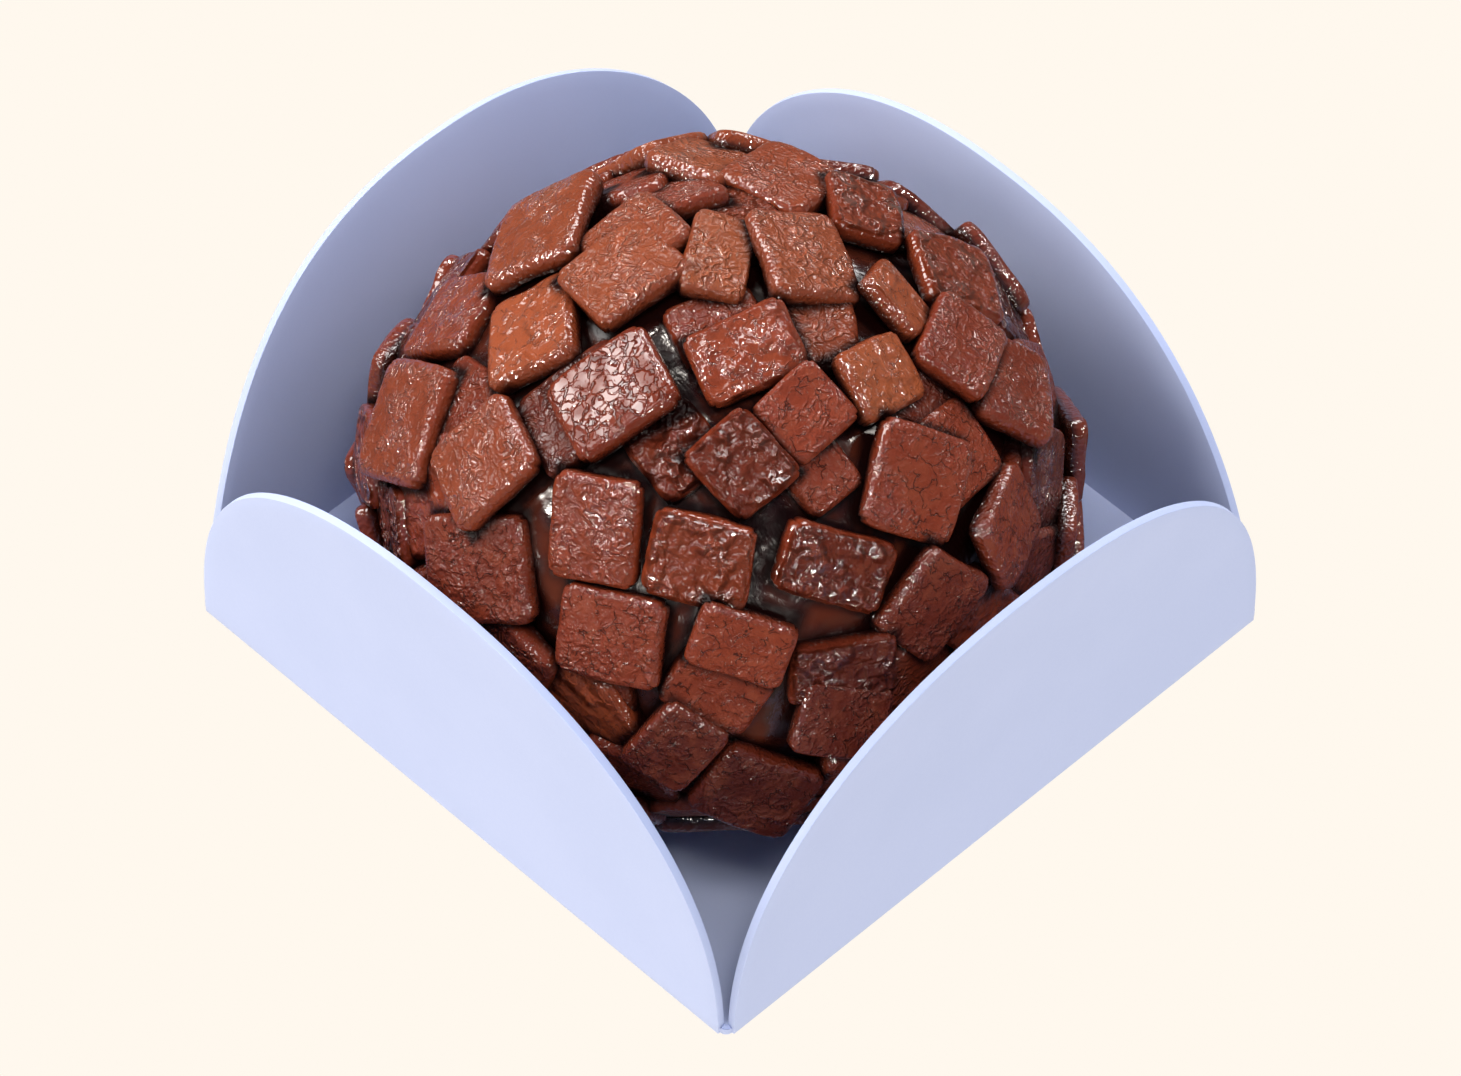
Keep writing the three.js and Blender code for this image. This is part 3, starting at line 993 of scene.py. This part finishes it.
def build_specks():
    sockets = [("Vector", "Vector", None), ("Scale", "Float", 6.0)]
    tree, given, made = shader_group("specks", sockets, [("Height", "Float")])
    fine = noise(tree, given["Vector"], given["Scale"], 0.0)
    tree.links.new(spanned(tree, fine, 0.56, 0.74), made["Height"])
    return tree


LUMPS = build_lumps()
SPECKS = build_specks()
print(LUMPS.name, "and", SPECKS.name)


# %% [markdown]
# ## Chocolate colour
#
# The tone of a flake runs from dark over plain to caramel. Part of it is painted light and shade:
# flakes low on the ball get dark tones and those on top pale ones. A slow mottle makes it uneven,
# and the rounded edges get painted shade, darker and redder.

# %% Node group for the colour
DARK = (0.072, 0.0105, 0.0065, 1)
PLAIN = (0.232, 0.034, 0.0115, 1)
CARAMEL = (0.375, 0.088, 0.027, 1)
PALE_PATCH = (0.34, 0.085, 0.036, 1)
DARK_PATCH = (0.075, 0.012, 0.007, 1)
RIM_SHADE = (0.16, 0.022, 0.006, 1)


def build_tint():
    sockets = [("Vector", "Vector", None), ("Tone", "Float", 0.5), ("Rim", "Float", 0.0)]
    tree, given, made = shader_group("chocolate tint", sockets, [("Color", "Color")])
    low = blend(tree, spanned(tree, given["Tone"], 0.0, 0.5), DARK, PLAIN)
    tone = blend(tree, spanned(tree, given["Tone"], 0.5, 1.0), low, CARAMEL)
    mottle = noise(tree, given["Vector"], 1.3, 2.0)
    paler = blend(tree, spanned(tree, mottle, 0.42, 0.72, 0.0, 0.22), tone, PALE_PATCH)
    darker = blend(tree, spanned(tree, mottle, 0.48, 0.28, 0.0, 0.2), paler, DARK_PATCH)
    # Painted shade on the rounded edges: they go darker and redder.
    rim = blend(tree, times(tree, given["Rim"], 0.6), darker, RIM_SHADE)
    tree.links.new(rim, made["Color"])
    return tree


TINT = build_tint()
print(TINT.name)


# %% [markdown]
# ## Chocolate
#
# One function makes the material of each finish. The relief is a sum of the shared effects, each
# with its own depth in millimetres, and what lies low in it gets painted shade, as a real crease
# would be shaded. Some patches of a flake are rough and glazed, others calm and nearly matt. The
# glaze is the shader's coat, bumped like the chocolate, so that every ridge glints. Every edge is
# glazed and beaded with tiny bumps, which break its highlight up into a chain of bright specks.
# Near the fudge, and where flakes stand close together, painted shade makes the colour dark, and
# the glaze goes dull.

# %% Cracks and reliefs in a material
# The near-black below is painted shade: creases, cracks, the feet of flakes and crowded spots are
# darkened towards it.
CREASE_SHADE = (0.009, 0.0014, 0.0010, 1)
LIP_HEIGHT = 0.045
CRACK_DEPTH = 0.06


def cracked_open(tree, place, inner, amount, colour, height):
    """Adds short cracks to a colour and a height: lines of painted shade with raised lips."""
    crack = use(tree, CRACKS, {"Vector": place, "Scale": 1.3, "Kept": 0.55})
    lips = times(tree, crack["Lips"], LIP_HEIGHT * amount)
    line = times(tree, times(tree, crack["Cracks"], inner), amount)
    height = maths(tree, "ADD", height, lips)
    height = maths(tree, "SUBTRACT", height, times(tree, line, CRACK_DEPTH))
    return blend(tree, line, colour, CREASE_SHADE), height


def embossed(tree, place, inner, strength, reliefs, colour, height):
    """Adds every relief to a height, and paints shade into the colour where the relief is low."""
    for group, settings, depth, shade in reliefs:
        part = use(tree, group, {"Vector": place, **settings})["Height"]
        part = times(tree, times(tree, part, inner), strength)
        height = maths(tree, "ADD", height, times(tree, part, depth))
        low = times(tree, maths(tree, "SUBTRACT", inner, part), shade)
        colour = blend(tree, low, colour, CREASE_SHADE)
    return colour, height


# %% The chocolate material
BEAD_HEIGHT = 0.05
RIM_GLAZE = (0.85, 0.85, 0.85, 1)


def chocolate(name, rough, wet, specks, reliefs, cracks=0.0, calm=0.35):
    material, tree, shader = new_material(name)
    place = attribute(tree, "spot", "Vector")
    rim = attribute(tree, "rim")
    inner = spanned(tree, rim, 0.2, 0.9, 1.0, 0.0)
    tone = {"Vector": place, "Tone": attribute(tree, "tone"), "Rim": rim}
    colour = use(tree, TINT, tone)["Color"]
    patches = noise(tree, place, 0.7, 1.0)
    rough_patches = spanned(tree, patches, 0.38, 0.58, calm, 1.25)
    speck = use(tree, SPECKS, {"Vector": place, "Scale": 5.0})["Height"]
    height = times(tree, speck, specks)
    if cracks:
        colour, height = cracked_open(tree, place, inner, cracks, colour, height)
    colour, height = embossed(tree, place, inner, rough_patches, reliefs, colour, height)
    beads = times(tree, noise(tree, place, 5.0, 0.0), rim)
    height = maths(tree, "ADD", height, times(tree, beads, BEAD_HEIGHT))
    bump = bumped(tree, height, MM)
    # Painted shade: the colour goes near-black at the foot of each flake and where other flakes
    # stand close.
    hidden = maths(tree, "POWER", attribute(tree, "shelter"), 1.3)
    open_air = maths(tree, "SUBTRACT", 1.0, hidden)
    off_foot = maths(tree, "SUBTRACT", 1.0, times(tree, attribute(tree, "foot"), 0.8))
    lit = times(tree, open_air, off_foot)
    colour = blend(tree, spanned(tree, lit, 0.0, 0.9), CREASE_SHADE, colour)
    glaze = spanned(tree, patches, 0.40, 0.60, 0.2 * wet, wet)
    glaze = blend(tree, rim, glaze, RIM_GLAZE)
    looks = {
        "Base Color": colour,
        "Normal": bump,
        "Coat Normal": bump,
        "Coat Weight": times(tree, glaze, open_air),
        "Coat Roughness": 0.05,
        "Coat IOR": 1.68,
        "Roughness": rough,
        "IOR": 1.5,
        "Specular IOR Level": 0.08,
    }
    fill(tree, shader.inputs, looks)
    return material


# %% The five chocolate finishes
# each relief: its node group and settings, its depth in millimetres, how dark the painted shade in
# its low parts is
WRINKLED = [
    (WRINKLES, {"Scale": 1.7, "Thin": 0.13}, 0.105, 0.22),
    (WRINKLES, {"Scale": 3.0, "Thin": 0.18}, 0.035, 0.15),
]
CRACKLED = [
    (PLATES, {"Scale": 1.4, "Groove": 0.13}, 0.055, 0.45),
    (WRINKLES, {"Scale": 1.3, "Thin": 0.08}, -0.012, 0.0),
]
DIMPLED = [
    (LUMPS, {"Scale": 1.6}, 0.68, 0.34),
    (WRINKLES, {"Scale": 1.8, "Thin": 0.20}, 0.035, 0.08),
]
CRACKED = [
    (WRINKLES, {"Scale": 1.9, "Thin": 0.13}, 0.050, 0.06),
    (LUMPS, {"Scale": 2.6}, 0.08, 0.04),
]
SMOOTH = [
    (LUMPS, {"Scale": 0.8}, 0.22, 0.05),
    (WRINKLES, {"Scale": 1.3, "Thin": 0.12}, 0.035, 0.08),
]
# each finish: its name, how rough and how wet it is, the depth of its specks, its reliefs
chocolates = {
    "wrinkled": chocolate("wrinkled chocolate", 0.38, 0.8, 0.010, WRINKLED),
    "crackled": chocolate("crackled chocolate", 0.25, 0.72, 0.0, CRACKLED, calm=0.9),
    "dimpled": chocolate("dimpled chocolate", 0.32, 1.0, 0.006, DIMPLED),
    "cracked": chocolate("cracked chocolate", 0.45, 0.22, 0.012, CRACKED, cracks=0.75),
    "smooth": chocolate("smooth caramel chocolate", 0.32, 0.65, 0.006, SMOOTH, cracks=0.5),
}
for finish, piece in flakes.items():
    piece.data.materials.clear()
    piece.data.materials.append(chocolates[finish])
print(len(chocolates), "finishes of chocolate")


# %% [markdown]
# ## Fudge
#
# The fudge is dark brown and wet in patches, and painted shade turns it nearly black against the
# flakes. Its streaks come from a noise that is stretched by a Mapping node, so that the
# reflections break up into fine lines.

# %% The fudge material
FUDGE_BROWN = (0.105, 0.020, 0.008, 1)
FUDGE_BLACK = (0.034, 0.006, 0.004, 1)
STREAK_HEIGHT = 0.06
SWELL_HEIGHT = 0.2


def fudge_material():
    material, tree, shader = new_material("sticky fudge")
    place = add(tree, "ShaderNodeTexCoord").outputs["Object"]
    scale = {"Vector": place, "Scale": (1000, 1000, 350)}
    streaked = add(tree, "ShaderNodeMapping", scale).outputs[0]
    streaked = swirled(tree, streaked, 1.5, 0.7)
    streaks = noise(tree, streaked, 2.6, 2.0)
    swells = noise(tree, place, 450.0, 1.0)
    patchy = times(tree, streaks, spanned(tree, swells, 0.40, 0.60))
    patchy = times(tree, patchy, STREAK_HEIGHT)
    height = maths(tree, "ADD", patchy, times(tree, swells, SWELL_HEIGHT))
    bump = bumped(tree, height, MM)
    hidden = maths(tree, "POWER", attribute(tree, "shelter"), 2.0)
    open_air = maths(tree, "SUBTRACT", 1.0, hidden)
    colour = blend(tree, spanned(tree, swells, 0.35, 0.65), FUDGE_BROWN, FUDGE_BLACK)
    looks = {
        # Painted shade: the fudge goes near-black where flakes stand over it.
        "Base Color": blend(tree, hidden, colour, CREASE_SHADE),
        "Normal": bump,
        "Coat Normal": bump,
        "Roughness": spanned(tree, hidden, 0.0, 1.0, 0.17, 0.30),
        "Specular IOR Level": 0.22,
        "Coat Weight": times(tree, spanned(tree, swells, 0.42, 0.54), open_air),
        "Coat Roughness": 0.20,
        "Coat IOR": 1.5,
    }
    fill(tree, shader.inputs, looks)
    return material


fudge.data.materials.append(fudge_material())
print("the fudge is", fudge.data.materials[0].name)


# %% [markdown]
# ## Card
#
# The card is smooth and matt, pale blue with a touch of lilac. Up close it has a faint cloudy
# mottle and a fine tooth. Its cut edge shows the white middle of the card.

# %% The card materials
def card_material(name, colour, darker, tooth):
    material, tree, shader = new_material(name)
    place = add(tree, "ShaderNodeTexCoord").outputs["Object"]
    cloud = noise(tree, place, 160.0, 3.0)
    fibres = noise(tree, place, 6000.0, 2.0)
    looks = {
        "Base Color": blend(tree, spanned(tree, cloud, 0.35, 0.65), darker, colour),
        "Normal": bumped(tree, fibres, tooth),
        "Roughness": spanned(tree, fibres, 0.3, 0.7, 0.62, 0.75),
        "Specular IOR Level": 0.3,
    }
    fill(tree, shader.inputs, looks)
    return material


card = card_material("blue card", (0.525, 0.572, 0.752, 1), (0.512, 0.560, 0.740, 1), 0.004 * MM)
cut_edge = card_material("cut card edge", (0.76, 0.78, 0.82, 1), (0.73, 0.75, 0.80, 1), 0.006 * MM)
card_case.data.materials[0] = card
card_case.data.materials[1] = cut_edge
print("the case is", [material.name for material in card_case.data.materials])


# %% [markdown]
# ## Floor and surroundings
#
# The floor and everything round it is one plain cream, so that the horizon doesn't show from any
# side. The floor glows evenly in that colour, like a light table, and takes no shadow. That is
# its look to the camera: as lights, the floor is brighter and the surroundings are dim and blue,
# and what shines sees little of either.

# %% Floor and world
CREAM = (1.0, 0.939, 0.855, 1)
FLOOR_TINT = (1.0, 0.95, 0.87, 1)
SKY_TINT = (0.66, 0.88, 1.45, 1)
FLOOR_GLOW = 1.56
SKY_GLOW = 0.38
LESS_SHINE = 0.85


def glow(tree, output, kind, glowing, tint):
    """Cream to the camera, with a strength and tint of its own as a light, and faint in gloss."""
    path = add(tree, "ShaderNodeLightPath").outputs
    bright = add(tree, kind, {"Color": CREAM, "Strength": 1.0}).outputs[0]
    less = times(tree, path["Is Glossy Ray"], LESS_SHINE * glowing)
    strength = maths(tree, "SUBTRACT", glowing, less)
    light = add(tree, kind, {"Color": tint, "Strength": strength}).outputs[0]
    either = {0: path["Is Camera Ray"], 1: light, 2: bright}
    tree.links.new(add(tree, "ShaderNodeMixShader", either).outputs[0], output)


bpy.ops.mesh.primitive_plane_add(size=8, location=(0, 0, -0.02 * MM))
floor = named("floor")
apply_place(floor)
paper, tree, shader = new_material("cream floor")
tree.nodes.remove(shader)
out = tree.nodes["Material Output"].inputs["Surface"]
glow(tree, out, "ShaderNodeEmission", FLOOR_GLOW, FLOOR_TINT)
floor.data.materials.append(paper)

world = bpy.data.worlds.new("surroundings")
bpy.context.scene.world = world
world.use_nodes = True
out = world.node_tree.nodes["World Output"].inputs["Surface"]
glow(world.node_tree, out, "ShaderNodeBackground", SKY_GLOW, SKY_TINT)
print(floor.name, "and", world.name)


# %% [markdown]
# ## Studio light
#
# The light is soft: a large key light high on the left, which whitens the crackled skin and makes
# the left petal the brightest, a small window above it, and a wide light behind. Two more, in
# front and on the right, only brighten and don't show as highlights. Six small sparks do the
# opposite: they light nothing, but glint on the wet ridges. Their places are given by the same two
# angles as the camera's.

# %% Lights
LAMP_WHITE = (1.0, 0.985, 0.96)
SPARK_GOLD = (1.0, 0.94, 0.86)
SPARK_SIDE = 0.05
LIGHT_DISTANCE = 0.6

# degrees round and up, watts
SPARKS = [
    (-75, 30, 2.3),
    (98, 42, 2.2),
    (0, 34, 1.3),
    (-165, 62, 2.4),
    (-45, 19, 1.3),
    (30, 24, 0.25),
]


def softbox(name, azimuth, height, distance, size, watts, colour, shines=True, lights=True):
    towards = direction(math.radians(azimuth), math.radians(height))
    bpy.ops.object.light_add(type="AREA")
    light = bpy.context.object
    light.name = name
    light.data.shape = "RECTANGLE"
    light.data.size = size[0]
    light.data.size_y = size[1]
    light.data.energy = watts
    light.data.color = colour
    light.visible_glossy = shines
    light.visible_diffuse = lights
    turn = (-towards).to_track_quat("-Z", "Y").to_matrix().to_4x4()
    light.matrix_world = Matrix.Translation(AIM + distance * towards) @ turn


softbox("key_light", -110, 40, LIGHT_DISTANCE, (0.28, 0.28), 2.9, LAMP_WHITE)
softbox("window_light", -42, 44, LIGHT_DISTANCE, (0.07, 0.09), 0.58, LAMP_WHITE)
softbox("top_light", 160, 40, 0.7, (0.34, 0.20), 2.5, (1.0, 0.99, 0.98))
softbox("front_light", 10, 66, LIGHT_DISTANCE, (0.15, 0.15), 1.3, (1.0, 0.98, 0.96), shines=False)
softbox("right_light", 62, 52, 0.7, (0.50, 0.50), 0.45, (0.80, 0.90, 1.0), shines=False)
for number, (azimuth, height, watts) in enumerate(SPARKS):
    name = "spark_%d" % number
    size = (SPARK_SIDE, SPARK_SIDE)
    softbox(name, azimuth, height, LIGHT_DISTANCE, size, watts, SPARK_GOLD, lights=False)
print(len(bpy.data.lights), "lights")
